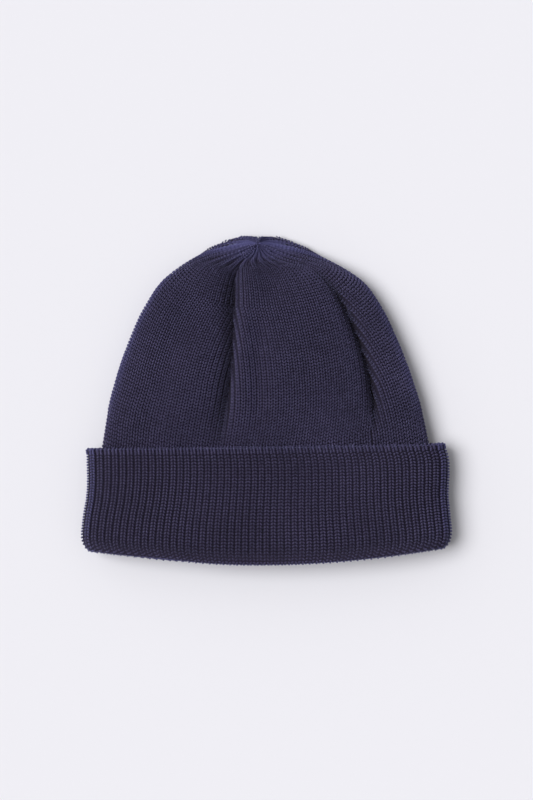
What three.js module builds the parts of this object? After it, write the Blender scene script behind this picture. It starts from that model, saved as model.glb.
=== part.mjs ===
// A knitted watch cap, laid flat on its back with its cuff turned up.
// Millimetres, +Z up. +X runs across the cuff, +Y from the rim to the tip, and the cap lies on z = 0.
// The knit is one tube. It runs down the crown to the rim, folds there and comes back up outside as the cuff,
// so the crown and the cuff meet just inside the rim, and the cuff wraps the crown with a small gap.
import * as THREE from "three";

// The cap as it lies
const CUFF_WIDTH = 234; // across the cuff, edge to edge
const CAP_LENGTH = 209.5; // rim to tip, before the tip is tilted
const CUFF_HEIGHT = 74.5; // rim to the cuff's free edge, at the middle
const CUFF_STANDOFF = 6.2; // open space between the cuff and the crown at each side of the free edge
const RIM_STANDOFF = 0.45; // the same space down at the rim
const MOUTH_CLEAR = 14; // open height inside the mouth
const CROWN_HEIGHT = 24.5; // thickness of the crown where it is fullest
const SAG_LENGTH = 26; // from the cuff's free edge to where the crown's back has sagged on to the surface
const RIM_BOW = 9.4; // how far the rim's two ends lie above its middle
const RIM_SLOPE = 1.8; // how far the rim climbs from its left end to its right end
const RIM_LIFT = 1; // how far the front of the rim is drawn up and the back down, left of the middle
const EDGE_SLOPE = 2.8; // how far the free edge climbs, likewise
const TIP_TILT = 6; // how far the gathered point lies back from the cap's end, on its upper side

// The knit
const WALL = 3; // one layer of knit
const LAYER_GAP = 0.5; // between the crown and the cuff
const RIM_LIP = 6; // depth of the folded rim, which belongs to the cuff
const LIP_GAP = 1.4; // between the folded rim and the crown's lower edge
const RIBS = 104; // ribs round the cuff
const RIB_DEPTH = 0.7; // from a rib's ridge to the groove beside it
const EDGE_ROUND = 0.9; // rounding of the cuff's free edge
const GATHERS = 26; // pleats drawn together at the tip
const GATHER_DEPTH = 1.6; // depth of those pleats
const DART_DEPTH = 10.5; // depth of the deepest dart in the crown

// How finely the surfaces are cut
const RIB_STEPS = 2 * RIBS; // a ridge and a groove for each rib
const BAND_STEPS = RIBS; // the smooth rings have every other one of those points
const FLAT_BACK = [0.57, 0.93]; // between these places, on its flat underside, the crown has half as many
const OUTLINE_STEPS = 360; // points on a section before they are spaced evenly
const SLOPE_STEP = 0.5; // the step, in millimetres, that a normal is measured over

// The cuff's outline from the rim (0) to the free edge (1). half is its half width and shift how far its middle lies to
// the right, both as shares of half of CUFF_WIDTH.
const CUFF_OUTLINE = [
  { up: 0, half: 0.952, shift: 0 },
  { up: 0.055, half: 0.982, shift: 0 },
  { up: 0.1, half: 0.995, shift: 0 },
  { up: 0.17, half: 1, shift: 0 },
  { up: 0.35, half: 0.99, shift: 0 },
  { up: 0.52, half: 0.978, shift: 0.004 },
  { up: 0.7, half: 0.977, shift: 0.009 },
  { up: 0.86, half: 0.977, shift: 0.007 },
  { up: 1, half: 0.965, shift: -0.006 },
];

// The crown's outline from the cuff's free edge (0) to the tip (1). half and shift are shares of the crown's half
// width at the free edge, top and under are shares of CROWN_HEIGHT, and a higher square gives blunter side edges.
const CROWN_OUTLINE = [
  { up: 0, half: 1, shift: -0.0068, top: 0.96, under: 0, square: 5.5 },
  { up: 0.12, half: 0.972, shift: -0.01, top: 0.98, under: 0, square: 5.5 },
  { up: 0.22, half: 0.946, shift: -0.013, top: 1, under: 0, square: 5 },
  { up: 0.41, half: 0.867, shift: -0.017, top: 1, under: 0, square: 4.6 },
  { up: 0.6, half: 0.764, shift: -0.021, top: 0.97, under: 0, square: 4 },
  { up: 0.69, half: 0.698, shift: -0.022, top: 0.94, under: 0, square: 3.6 },
  { up: 0.75, half: 0.644, shift: -0.024, top: 0.91, under: 0, square: 3.3 },
  { up: 0.8, half: 0.576, shift: -0.03, top: 0.88, under: 0, square: 3 },
  { up: 0.88, half: 0.42, shift: -0.046, top: 0.8, under: 0.02, square: 2.7 },
  { up: 0.935, half: 0.262, shift: -0.058, top: 0.72, under: 0.11, square: 2.5 },
  { up: 0.975, half: 0.075, shift: -0.052, top: 0.62, under: 0.26, square: 2.2 },
  { up: 1, half: 0, shift: -0.052, top: 0.58, under: 0.54, square: 2 },
];

// Darts and folds pressed into the crown. low, middle and high are the places round the cap of a fold at the free
// edge, halfway up and at the tip: 0 at the right edge, over the top to 0.5 at the left edge, and back beneath.
// from, full, fade and to are the heights, as in CROWN_OUTLINE, between which it opens, is deepest and closes.
// width is a share of the crown's half width, and wide is how many times wider the fold's left side is. depth is a
// share of DART_DEPTH, below 0 for a ridge. A crisp of 1 is a crease and 2 a soft hollow.
const FOLDS = [
  { name: "right dart", low: 0.093, middle: 0.078, high: 0.115, from: 0.02, full: 0.26, fade: 0.5, to: 0.98, width: 0.036, wide: 2.2, depth: 1, crisp: 1.15 },
  { name: "left dart", low: 0.32, middle: 0.304, high: 0.335, from: -0.08, full: 0.3, fade: 0.8, to: 0.99, width: 0.04, wide: 2.3, depth: 0.95, crisp: 1.2 },
  { name: "front ridge", low: 0.303, middle: 0.284, high: 0.3, from: 0.02, full: 0.3, fade: 0.7, to: 0.9, width: 0.045, wide: 1, depth: -0.12, crisp: 2 },
  { name: "front fold", low: 0.262, middle: 0.258, high: 0.25, from: -0.05, full: 0.3, fade: 0.5, to: 0.68, width: 0.06, wide: 1, depth: 0.3, crisp: 1.9 },
  { name: "left fold", low: 0.42, middle: 0.41, high: 0.41, from: -0.1, full: 0.2, fade: 0.45, to: 0.65, width: 0.095, wide: 1, depth: 0.2, crisp: 2 },
  { name: "shoulder dip", low: 0.4, middle: 0.398, high: 0.395, from: 0.42, full: 0.56, fade: 0.62, to: 0.78, width: 0.13, wide: 1, depth: 0.16, crisp: 2 },
  { name: "gather dimple", low: 0.25, middle: 0.244, high: 0.222, from: 0.6, full: 0.72, fade: 0.78, to: 0.9, width: 0.085, wide: 1, depth: 0.34, crisp: 2 },
  { name: "back left dart", low: 0.567, middle: 0.567, high: 0.567, from: 0.1, full: 0.45, fade: 0.8, to: 0.98, width: 0.06, wide: 1, depth: 0.16, crisp: 1.6 },
  { name: "back right dart", low: 0.817, middle: 0.817, high: 0.817, from: 0.1, full: 0.45, fade: 0.8, to: 0.98, width: 0.06, wide: 1, depth: 0.16, crisp: 1.6 },
];

// Shares that shape every section
const WAIST = 0.45; // height of the side edges between the underside and the top
const UNDER_SQUARE = 7; // how blunt the underside's edges are
const UNDER_FLAT = 1.07; // over 1, so that the middle of the underside is truly flat
const TILT_START = 0.82; // where on the crown the tip starts to tilt back
const TILT_ABOUT = 0.33; // the height it tilts about, as a share of CROWN_HEIGHT
const TILT_REACH = 0.2; // the height above that where TIP_TILT is reached, likewise
const LIFT_ACROSS = -0.61; // where across the cap RIM_LIFT is greatest
const LIFT_REACH = 0.22; // how far across it reaches to each side
const GATHER_START = 0.84; // where on the crown the gathers start

// Sizes that follow
const crownLength = CAP_LENGTH - CUFF_HEIGHT;
const layer = WALL + LAYER_GAP;
const cuffHalf = CUFF_WIDTH / 2;
const crownHalf = cuffHalf * CUFF_OUTLINE.at(-1).half - layer - CUFF_STANDOFF;
const mouthTop = layer + 2 * WALL + MOUTH_CLEAR;
const rimRound = (2 * WALL + LAYER_GAP) / 2;

const mix = (a, b, t) => a + (b - a) * t;
const clamp = (x, low = 0, high = 1) => Math.min(high, Math.max(low, x));
const smooth = (x) => clamp(x) ** 2 * (3 - 2 * clamp(x));
const through = (low, middle, high, t) => low * (1 - t) * (1 - 2 * t) + 4 * middle * t * (1 - t) + high * t * (2 * t - 1);
const ramp = (x, start, end) => smooth((x - start) / (end - start));

// A smooth curve through one column of a table, read at a height
function column(table, name, up) {
  const last = table.length - 1;
  const at = clamp(up, table[0].up, table[last].up);
  let i = 0;
  while (i < last - 1 && at > table[i + 1].up) i += 1;
  const slope = (a, b) => (table[b][name] - table[a][name]) / (table[b].up - table[a].up);
  const step = table[i + 1].up - table[i].up;
  const t = (at - table[i].up) / step;
  const here = slope(Math.max(i - 1, 0), i + 1) * step;
  const next = slope(i, Math.min(i + 2, last)) * step;
  const t2 = t * t;
  const t3 = t2 * t;
  return (
    table[i][name] * (2 * t3 - 3 * t2 + 1) +
    table[i + 1][name] * (3 * t2 - 2 * t3) +
    here * (t3 - 2 * t2 + t) +
    next * (t3 - t2)
  );
}

// The sizes of the crown's section at a height above the rim
function sizesAt(height) {
  const cuffUp = height / CUFF_HEIGHT;
  const crownUp = (height - CUFF_HEIGHT) / crownLength;
  const from = (name) => column(CROWN_OUTLINE, name, crownUp);
  const tucked = cuffHalf * column(CUFF_OUTLINE, "half", cuffUp) - layer - standoffAt(height);
  const settled = ramp(height, CUFF_HEIGHT, CUFF_HEIGHT + SAG_LENGTH);
  return {
    half: crownUp < 0 ? tucked : crownHalf * from("half"),
    shift: crownUp < 0 ? cuffHalf * column(CUFF_OUTLINE, "shift", cuffUp) : crownHalf * from("shift"),
    top: mix(mouthTop, CROWN_HEIGHT * from("top"), settled),
    under: mix(layer, CROWN_HEIGHT * from("under"), settled),
    square: from("square"),
    bow: RIM_BOW * clamp(1 - cuffUp),
    slope: (mix(RIM_SLOPE, EDGE_SLOPE, smooth(cuffUp)) / 2) * (1 - ramp(crownUp, 0, 0.4)),
    lift: RIM_LIFT * clamp(1 - cuffUp),
    tilt: TIP_TILT * ramp(crownUp, TILT_START, 1),
  };
}

// How far the cuff stands off the crown at the side edges
function standoffAt(height) {
  return mix(RIM_STANDOFF, CUFF_STANDOFF, smooth(height / CUFF_HEIGHT));
}

// One section as points spaced evenly round the cap, each with its place across and up the section
const sectionCache = new Map();
function sectionAt(height) {
  if (sectionCache.has(height)) return sectionCache.get(height);
  const size = sizesAt(height);
  const waist = mix(size.under, size.top, WAIST);
  const side = (sign) => {
    const points = [];
    const square = sign > 0 ? size.square : Math.min(UNDER_SQUARE, size.square * 2);
    for (let i = 0; i <= OUTLINE_STEPS; i += 1) {
      const angle = (Math.PI * i) / OUTLINE_STEPS;
      const cos = Math.cos(angle);
      const across = sign * Math.sign(cos) * Math.abs(cos) ** (2 / square);
      const rise = Math.sin(angle);
      const z =
        sign > 0 ? mix(waist, size.top, rise) : mix(waist, size.under, Math.min(1, UNDER_FLAT * rise));
      points.push({ across, x: size.shift + size.half * across, z });
    }
    const lengths = [0];
    for (let i = 1; i < points.length; i += 1) {
      const [a, b] = [points[i - 1], points[i]];
      lengths.push(lengths[i - 1] + Math.hypot(b.x - a.x, b.z - a.z));
    }
    return { points, lengths };
  };
  const section = { size, over: side(1), beneath: side(-1) };
  sectionCache.set(height, section);
  return section;
}

// The crown's skin without its folds, at a place round the cap and a height above the rim
function plainSkin(around, height) {
  const { size, over, beneath } = sectionAt(height);
  const turn = around - Math.floor(around);
  const { points, lengths } = turn < 0.5 ? over : beneath;
  const target = (turn % 0.5) * 2 * lengths.at(-1);
  let low = 0;
  let high = lengths.length - 1;
  while (high - low > 1) {
    const middle = (low + high) >> 1;
    if (lengths[middle] <= target) low = middle;
    else high = middle;
  }
  const t = (target - lengths[low]) / Math.max(lengths[high] - lengths[low], 1e-9);
  const across = mix(points[low].across, points[high].across, t);
  const x = mix(points[low].x, points[high].x, t);
  const z = mix(points[low].z, points[high].z, t);
  const lean = size.tilt * Math.max((z / CROWN_HEIGHT - TILT_ABOUT) / TILT_REACH, -1);
  const lift = (turn < 0.5 ? 1 : -1) * size.lift * Math.exp(-(((across - LIFT_ACROSS) / LIFT_REACH) ** 2));
  const y = height + size.bow * across ** 2 + size.slope * across + lift - lean;
  return { point: new THREE.Vector3(x, y, z), across, girth: over.lengths.at(-1) + beneath.lengths.at(-1) };
}

// The way out of the knit at that place, from the skin's own slopes
function skinNormal(around, height) {
  const { girth } = plainSkin(around, height);
  const turn = SLOPE_STEP / Math.max(girth, 4 * SLOPE_STEP);
  const lower = Math.max(height - SLOPE_STEP, 0);
  const upper = Math.min(height + SLOPE_STEP, CAP_LENGTH - SLOPE_STEP);
  const along = plainSkin(around + turn, height).point.sub(plainSkin(around - turn, height).point);
  const upward = plainSkin(around, upper).point.sub(plainSkin(around, lower).point);
  return upward.cross(along).normalize();
}

const crownUpAt = (height) => (height - CUFF_HEIGHT) / crownLength;
const foldPlace = (fold, up) => through(fold.low, fold.middle, fold.high, clamp(up));

// How far the darts, folds and gathers press the skin in
function pressedIn(around, height, girth) {
  const up = crownUpAt(height);
  let depth = 0;
  for (const fold of FOLDS) {
    const open = ramp(up, fold.from, fold.full) * (1 - ramp(up, fold.fade, fold.to));
    const apart = around - foldPlace(fold, up);
    const off = apart - Math.round(apart);
    const reach = Math.abs(off * girth) / (fold.width * crownHalf * (off > 0 ? fold.wide : 1));
    depth += DART_DEPTH * fold.depth * open * Math.exp(-(reach ** fold.crisp));
  }
  const gathered = ramp(up, GATHER_START, 0.95) * (1 - ramp(up, 0.985, 1));
  return depth + GATHER_DEPTH * gathered * (0.5 - 0.5 * Math.cos(2 * Math.PI * GATHERS * around));
}

// A point of the crown, inset from its folded skin
function crownPoint(around, height, inset) {
  const { point, girth } = plainSkin(around, height);
  const normal = skinNormal(around, height);
  return point.addScaledVector(normal, -pressedIn(around, height, girth) - inset);
}

// A point of the cuff, set off from the crown's skin as it would be without folds
function cuffPoint(around, height, offset) {
  const { point, across } = plainSkin(around, height);
  const normal = skinNormal(around, height);
  const standoff = standoffAt(height) * clamp(offset / LAYER_GAP) * Math.sign(across) * across ** 4;
  return point.addScaledVector(normal, offset).add(new THREE.Vector3(standoff, 0, 0));
}

// A ring of points at equal places round the cap
const evenRing = (steps, pointAt) => Array.from({ length: steps }, (_, i) => pointAt(i / steps, i));

// The places of the crown's points, fewer on the flat underside
const crownPlaces = evenRing(BAND_STEPS, (around) => around).filter(
  (around, i) => around < FLAT_BACK[0] || around > FLAT_BACK[1] || i % 2 === 0,
);

// Above the cuff a column of points keeps to each dart, so that its crease is a clean line
const darts = FOLDS.filter(({ name }) => name.endsWith("dart")).sort((a, b) => a.low - b.low);
const evenPlace = ({ low }) => (2 * Math.round((low * BAND_STEPS) / 2)) / BAND_STEPS;
function besideDarts(around, height) {
  const up = crownUpAt(height);
  const even = [0, ...darts.map(evenPlace), 1];
  const moved = [0, ...darts.map((dart) => foldPlace(dart, up)), 1];
  const i = even.findLastIndex((place, at) => place <= around && at < even.length - 1);
  const place = mix(moved[i], moved[i + 1], (around - even[i]) / (even[i + 1] - even[i]));
  return mix(around, place, ramp(up, 0, 0.08));
}

const crownRing = (height, inset) =>
  crownPlaces.map((around) => crownPoint(besideDarts(around, height), height, inset));

// Joins a pile of rings, each with as many points as the next or with twice or half as many, into triangles
class Skin {
  triangles = [];

  strip(lower, upper) {
    const [few, many] = lower.length < upper.length ? [lower, upper] : [upper, lower];
    const flipped = few === upper;
    const split = many.length / few.length;
    for (let i = 0; i < few.length; i += 1) {
      const [a, b] = [few[i], few[(i + 1) % few.length]];
      const run = Array.from({ length: split + 1 }, (_, j) => many[(i * split + j) % many.length]);
      if (split === 1) {
        this.face(flipped, a, run[1], b);
        this.face(flipped, a, run[0], run[1]);
      } else {
        this.face(flipped, a, run[0], run[1]);
        this.face(flipped, a, run[1], b);
        this.face(flipped, b, run[1], run[2]);
      }
    }
  }

  face(flipped, a, b, c) {
    this.triangles.push(...(flipped ? [a, c, b] : [a, b, c]));
  }

  fan(rim, point) {
    rim.forEach((a, i) => this.triangles.push(a, point, rim[(i + 1) % rim.length]));
  }

  pile(rings) {
    for (let i = 1; i < rings.length; i += 1) this.strip(rings[i - 1], rings[i]);
  }

  geometry() {
    const geometry = new THREE.BufferGeometry().setFromPoints(this.triangles);
    geometry.computeVertexNormals();
    return geometry;
  }
}

const crownUps = (ups) => ups.map((up) => CUFF_HEIGHT + up * crownLength);

// The crown: a hollow shell, open at the rim and drawn together at the tip
function makeCrown() {
  const start = RIM_LIP + LIP_GAP;
  const tucked = [start, 0.17 * CUFF_HEIGHT, 0.5 * CUFF_HEIGHT, CUFF_HEIGHT];
  const outside = [...tucked, ...crownUps([0.1, 0.2, 0.3, 0.41, 0.52, 0.62, 0.7, 0.76, 0.81, 0.855, 0.895, 0.93, 0.96, 0.982])];
  const inside = [...tucked, ...crownUps([0.1, 0.2, 0.3, 0.41, 0.52, 0.62, 0.7, 0.76, 0.83, 0.89, 0.93])];
  const outer = outside.map((height) => crownRing(height, 0));
  const inner = inside.map((height) => crownRing(height, WALL));
  const tip = plainSkin(0.25, CAP_LENGTH).point;
  const inward = new THREE.Vector3(0, -1, -0.4).normalize();
  const skin = new Skin();
  skin.pile([...inner.slice().reverse(), ...outer]);
  skin.fan(outer.at(-1), tip);
  const hollowEnd = middleOf(inner.at(-1)).addScaledVector(inward, -WALL / 2);
  inner.at(-1).forEach((a, i, all) => skin.triangles.push(a, all[(i + 1) % all.length], hollowEnd));
  return skin.geometry();
}

function middleOf(points) {
  return points.reduce((sum, p) => sum.add(p), new THREE.Vector3()).divideScalar(points.length);
}

// The cuff: a ribbed band outside the crown, closed along the rim by the fold and its lip
function makeCuff() {
  const outside = (height, offset, ribbed = 1) =>
    evenRing(RIB_STEPS, (around, i) =>
      cuffPoint(around, height, offset - (i % 2) * RIB_DEPTH * ribbed),
    );
  const inside = (height, offset) => evenRing(BAND_STEPS, (around) => cuffPoint(around, height, offset));
  const turned = (degrees) => {
    const angle = THREE.MathUtils.degToRad(degrees);
    return [rimRound * (1 - Math.sin(angle)), layer - rimRound * (1 - Math.cos(angle))];
  };
  const skin = new Skin();
  const rings = [
    inside(CUFF_HEIGHT, LAYER_GAP + WALL / 2),
    inside(CUFF_HEIGHT - EDGE_ROUND, LAYER_GAP),
    inside(0.5 * CUFF_HEIGHT, LAYER_GAP),
    inside(0.17 * CUFF_HEIGHT, LAYER_GAP),
    inside(RIM_LIP + LIP_GAP, LAYER_GAP),
    inside(RIM_LIP, LAYER_GAP),
    inside(RIM_LIP, -WALL),
    inside(rimRound, -WALL),
    inside(...turned(135)),
    inside(...turned(90)),
    outside(...turned(45), 0.6),
    outside(rimRound, layer),
    outside(0.17 * CUFF_HEIGHT, layer),
    outside(0.5 * CUFF_HEIGHT, layer),
    outside(CUFF_HEIGHT - 3 * EDGE_ROUND, layer),
    outside(CUFF_HEIGHT - EDGE_ROUND, layer - EDGE_ROUND / 3, 0.6),
  ];
  skin.pile([...rings, rings[0]]);
  return skin.geometry();
}

const wool = (color) => new THREE.MeshStandardMaterial({ color, roughness: 0.95, metalness: 0 });

function piece(name, geometry, color) {
  const mesh = new THREE.Mesh(geometry, wool(color));
  mesh.name = name;
  return mesh;
}

const cap = new THREE.Group();
cap.add(piece("crown", makeCrown(), 0x302d41));
cap.add(piece("cuff", makeCuff(), 0x2f2c3e));

// The origin is under the middle of the whole cap
const bounds = new THREE.Box3().setFromObject(cap, true);
const middle = bounds.getCenter(new THREE.Vector3());
cap.position.set(-middle.x, -middle.y, -bounds.min.z);

export default cap;
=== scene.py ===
# %% [markdown]
# # A knitted watch cap, laid flat
#
# The cap is one tube of ribbed wool. It lies on its back, flattened, with its cuff turned up. The
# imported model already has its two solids, the crown and the cuff, with the true outline, darts and
# folds. What they lack is the knit. This lesson lays a smooth ground of wool over each solid and
# then sets every stitch of the rib on it, one by one.

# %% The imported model
import math

import bpy
import numpy as np
from mathutils import Matrix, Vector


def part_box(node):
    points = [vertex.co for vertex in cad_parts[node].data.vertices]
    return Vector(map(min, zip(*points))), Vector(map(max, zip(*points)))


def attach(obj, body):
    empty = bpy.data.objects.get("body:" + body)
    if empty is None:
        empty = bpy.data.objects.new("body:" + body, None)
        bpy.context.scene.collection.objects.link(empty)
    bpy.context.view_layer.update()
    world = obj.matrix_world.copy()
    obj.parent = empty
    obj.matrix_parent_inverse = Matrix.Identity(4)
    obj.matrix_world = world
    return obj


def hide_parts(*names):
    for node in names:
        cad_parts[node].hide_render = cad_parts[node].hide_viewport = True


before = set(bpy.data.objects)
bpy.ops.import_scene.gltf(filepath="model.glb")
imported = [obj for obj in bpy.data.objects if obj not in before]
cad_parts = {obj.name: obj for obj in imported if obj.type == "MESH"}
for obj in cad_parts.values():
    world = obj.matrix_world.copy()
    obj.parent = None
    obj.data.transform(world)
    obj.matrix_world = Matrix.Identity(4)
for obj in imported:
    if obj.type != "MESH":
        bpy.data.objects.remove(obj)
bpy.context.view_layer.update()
print("nodes:", sorted(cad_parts))

# %% [markdown]
# ## Sizes
#
# A script that dresses a solid needs the solid's own sizes. These are the cap's named sizes, in
# millimetres, and the tables that its outline follows. They could be measured from the mesh, but a
# formula can be read at any point, and the stitches need thousands of points.
#
# In the outline tables, up runs from 0 to 1 along the cuff or along the crown. The columns half and
# shift are shares of the half width, top and under are shares of the crown's height, and square
# says how boxy a section is. In the folds table, the first three columns place a fold round the cap
# at the crown's foot, middle and tip. The next four say where up the crown it starts, is full,
# fades and ends. The rest are its width, how much wider one side of it is, its depth as a share of
# a dart's, and how crisp it is. Places round the cap run from 0 at the right edge over the front to
# 0.5 at the left edge, and back to 1 under the cap.

# %% Named sizes
CUFF_WIDTH = 234
CAP_LENGTH = 209.5
CUFF_HEIGHT = 74.5
CUFF_STANDOFF = 6.2
RIM_STANDOFF = 0.45
MOUTH_CLEAR = 14
CROWN_HEIGHT = 24.5
SAG_LENGTH = 26
RIM_BOW = 9.4
RIM_SLOPE = 1.8
RIM_LIFT = 1
EDGE_SLOPE = 2.8
TIP_TILT = 6
WALL = 3
LAYER_GAP = 0.5
RIM_LIP = 6
LIP_GAP = 1.4
GATHER_DEPTH = 1.6
DART_DEPTH = 10.5

# Counts
RIBS = 104
GATHERS = 26

# How square the underside is at most, and how much sooner than the top it gets flat
UNDER_SQUARE = 7
UNDER_FLAT = 1.07

# Shares of the crown's length
SLOPE_FADE = 0.4
TILT_START = 0.82
GATHER_SPAN = (0.84, 0.95, 0.985, 1)

# Shares of the crown's height, and of the half width from the middle
WAIST = 0.45
TILT_ABOUT, TILT_REACH = 0.33, 0.2
LIFT_ACROSS, LIFT_REACH = -0.61, 0.22

crown_length = CAP_LENGTH - CUFF_HEIGHT
layer = WALL + LAYER_GAP
rim_round = (2 * WALL + LAYER_GAP) / 2
MM = 0.001


def table(names, *rows):
    return {name: np.array(column, float) for name, column in zip(names.split(), zip(*rows))}


CUFF_OUTLINE = table(
    "up half shift",
    (0, 0.952, 0),
    (0.055, 0.982, 0),
    (0.1, 0.995, 0),
    (0.17, 1, 0),
    (0.35, 0.99, 0),
    (0.52, 0.978, 0.004),
    (0.7, 0.977, 0.009),
    (0.86, 0.977, 0.007),
    (1, 0.965, -0.006),
)
CROWN_OUTLINE = table(
    "up half shift top under square",
    (0, 1, -0.0068, 0.96, 0, 5.5),
    (0.12, 0.972, -0.01, 0.98, 0, 5.5),
    (0.22, 0.946, -0.013, 1, 0, 5),
    (0.41, 0.867, -0.017, 1, 0, 4.6),
    (0.6, 0.764, -0.021, 0.97, 0, 4),
    (0.69, 0.698, -0.022, 0.94, 0, 3.6),
    (0.75, 0.644, -0.024, 0.91, 0, 3.3),
    (0.8, 0.576, -0.03, 0.88, 0, 3),
    (0.88, 0.42, -0.046, 0.8, 0.02, 2.7),
    (0.935, 0.262, -0.058, 0.72, 0.11, 2.5),
    (0.975, 0.075, -0.052, 0.62, 0.26, 2.2),
    (1, 0, -0.052, 0.58, 0.54, 2),
)
FOLDS = table(
    "low middle high from full fade to width wide depth crisp",
    (0.093, 0.078, 0.115, 0.02, 0.26, 0.5, 0.98, 0.036, 2.2, 1, 1.15),
    (0.32, 0.304, 0.335, -0.08, 0.3, 0.8, 0.99, 0.04, 2.3, 0.95, 1.2),
    (0.303, 0.284, 0.3, 0.02, 0.3, 0.7, 0.9, 0.045, 1, -0.12, 2),
    (0.262, 0.258, 0.25, -0.05, 0.3, 0.5, 0.68, 0.06, 1, 0.3, 1.9),
    (0.42, 0.41, 0.41, -0.1, 0.2, 0.45, 0.65, 0.095, 1, 0.2, 2),
    (0.4, 0.398, 0.395, 0.42, 0.56, 0.62, 0.78, 0.13, 1, 0.16, 2),
    (0.25, 0.244, 0.222, 0.6, 0.72, 0.78, 0.9, 0.085, 1, 0.34, 2),
    (0.567, 0.567, 0.567, 0.1, 0.45, 0.8, 0.98, 0.06, 1, 0.16, 1.6),
    (0.817, 0.817, 0.817, 0.1, 0.45, 0.8, 0.98, 0.06, 1, 0.16, 1.6),
)
print("cap:", CUFF_WIDTH, "by", CAP_LENGTH, "mm,", RIBS, "ribs,", len(FOLDS["low"]), "folds")

# %% [markdown]
# ## The cap's skin
#
# Each section across the cap is a flattened ring, and the sizes of the ring change from the rim to
# the tip. The skin is worked out once as a fine grid, a row for every half millimetre of height and
# a column for every small step round the ring. Anything that sits on the skin then finds its place
# by reading between four points of that grid, which is far quicker than working a section out again
# for each stitch.


# %% Reading a table smoothly
def mix(a, b, t):
    return a + (b - a) * t


def smooth(x):
    x = np.clip(x, 0, 1)
    return x * x * (3 - 2 * x)


def ramp(x, start, end):
    return smooth((x - start) / (end - start))


def band(x, start, full, fade, end):
    """A smooth rise from 0 at the start to 1, and back to 0 at the end."""
    return ramp(x, start, full) * (1 - ramp(x, fade, end))


def column(rows, name, up):
    """A smooth curve through one column of a table, at one or many heights."""
    ups, values = rows["up"], rows[name]
    last = len(ups) - 1
    at = np.clip(up, ups[0], ups[-1])
    i = np.clip(np.searchsorted(ups, at, side="left") - 1, 0, last - 1)
    before, after = np.maximum(i - 1, 0), np.minimum(i + 2, last)
    step = ups[i + 1] - ups[i]
    t = (at - ups[i]) / step
    here = (values[i + 1] - values[before]) / (ups[i + 1] - ups[before]) * step
    there = (values[after] - values[i]) / (ups[after] - ups[i]) * step
    t2, t3 = t * t, t * t * t
    return (
        values[i] * (2 * t3 - 3 * t2 + 1)
        + values[i + 1] * (3 * t2 - 2 * t3)
        + here * (t3 - 2 * t2 + t)
        + there * (t3 - t2)
    )


def crown_up(height):
    return (height - CUFF_HEIGHT) / crown_length


def standoff(height):
    return mix(RIM_STANDOFF, CUFF_STANDOFF, smooth(height / CUFF_HEIGHT))


crown_half = CUFF_WIDTH / 2 * CUFF_OUTLINE["half"][-1] - layer - CUFF_STANDOFF


# %% One section of the cap
OUTLINE_STEPS = 360


def section(height, places):
    """The skin at one height above the rim: points, each one's share across, the ring's length."""
    up, cuff_up = crown_up(height), height / CUFF_HEIGHT
    if up < 0:
        half = CUFF_WIDTH / 2 * column(CUFF_OUTLINE, "half", cuff_up) - layer - standoff(height)
        shift = CUFF_WIDTH / 2 * column(CUFF_OUTLINE, "shift", cuff_up)
    else:
        half = crown_half * column(CROWN_OUTLINE, "half", up)
        shift = crown_half * column(CROWN_OUTLINE, "shift", up)
    settled = ramp(height, CUFF_HEIGHT, CUFF_HEIGHT + SAG_LENGTH)
    mouth_top = layer + 2 * WALL + MOUTH_CLEAR
    top = mix(mouth_top, CROWN_HEIGHT * column(CROWN_OUTLINE, "top", up), settled)
    under = mix(layer, CROWN_HEIGHT * column(CROWN_OUTLINE, "under", up), settled)
    square = column(CROWN_OUTLINE, "square", up)
    waist = mix(under, top, WAIST)
    angle = np.linspace(0, math.pi, OUTLINE_STEPS + 1)
    cos, rise = np.cos(angle), np.sin(angle)
    front = places % 1 < 0.5
    across_all, z_all, length = np.empty(len(places)), np.empty(len(places)), 0
    for sign in (1, -1):
        power = square if sign > 0 else min(UNDER_SQUARE, 2 * square)
        across = sign * np.sign(cos) * np.abs(cos) ** (2 / power)
        limit, reach = (top, rise) if sign > 0 else (under, np.minimum(1, UNDER_FLAT * rise))
        z = mix(waist, limit, reach)
        steps = np.hypot(np.diff(shift + half * across), np.diff(z))
        lengths = np.concatenate([[0], np.cumsum(steps)])
        mine = front == (sign > 0)
        target = (places[mine] % 0.5) * 2 * lengths[-1]
        across_all[mine] = np.interp(target, lengths, across)
        z_all[mine] = np.interp(target, lengths, z)
        length += lengths[-1]
    tilt = TIP_TILT * ramp(up, TILT_START, 1)
    lean = tilt * np.maximum((z_all / CROWN_HEIGHT - TILT_ABOUT) / TILT_REACH, -1)
    bow = RIM_BOW * np.clip(1 - cuff_up, 0, None)
    slope = mix(RIM_SLOPE, EDGE_SLOPE, smooth(cuff_up)) / 2 * (1 - ramp(up, 0, SLOPE_FADE))
    lifted = np.exp(-(((across_all - LIFT_ACROSS) / LIFT_REACH) ** 2))
    lift = RIM_LIFT * np.clip(1 - cuff_up, 0, 1) * lifted
    lift = np.where(front, lift, -lift)
    x = shift + half * across_all
    y = height + bow * across_all**2 + slope * across_all + lift - lean
    return np.stack([x, y, z_all], 1), across_all, length


# %% The whole skin as a grid
HEIGHT_STEP = 0.5
PLACE_STEPS = 960
heights = np.arange(0, CAP_LENGTH + HEIGHT_STEP / 2, HEIGHT_STEP)
places = np.arange(PLACE_STEPS) / PLACE_STEPS
sections = [section(height, places) for height in heights]
skin = np.stack([points for points, _, _ in sections])
skin_across = np.stack([across for _, across, _ in sections])
girth = np.array([length for _, _, length in sections])


def unit(vectors):
    return vectors / np.maximum(np.linalg.norm(vectors, axis=-1, keepdims=True), 1e-9)


def grid_normals(grid):
    """The way out of a grid whose columns go round the cap and whose rows climb it."""
    along = np.roll(grid, -1, 1) - np.roll(grid, 1, 1)
    upward = np.gradient(grid, axis=0)
    return unit(np.cross(upward, along))


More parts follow.
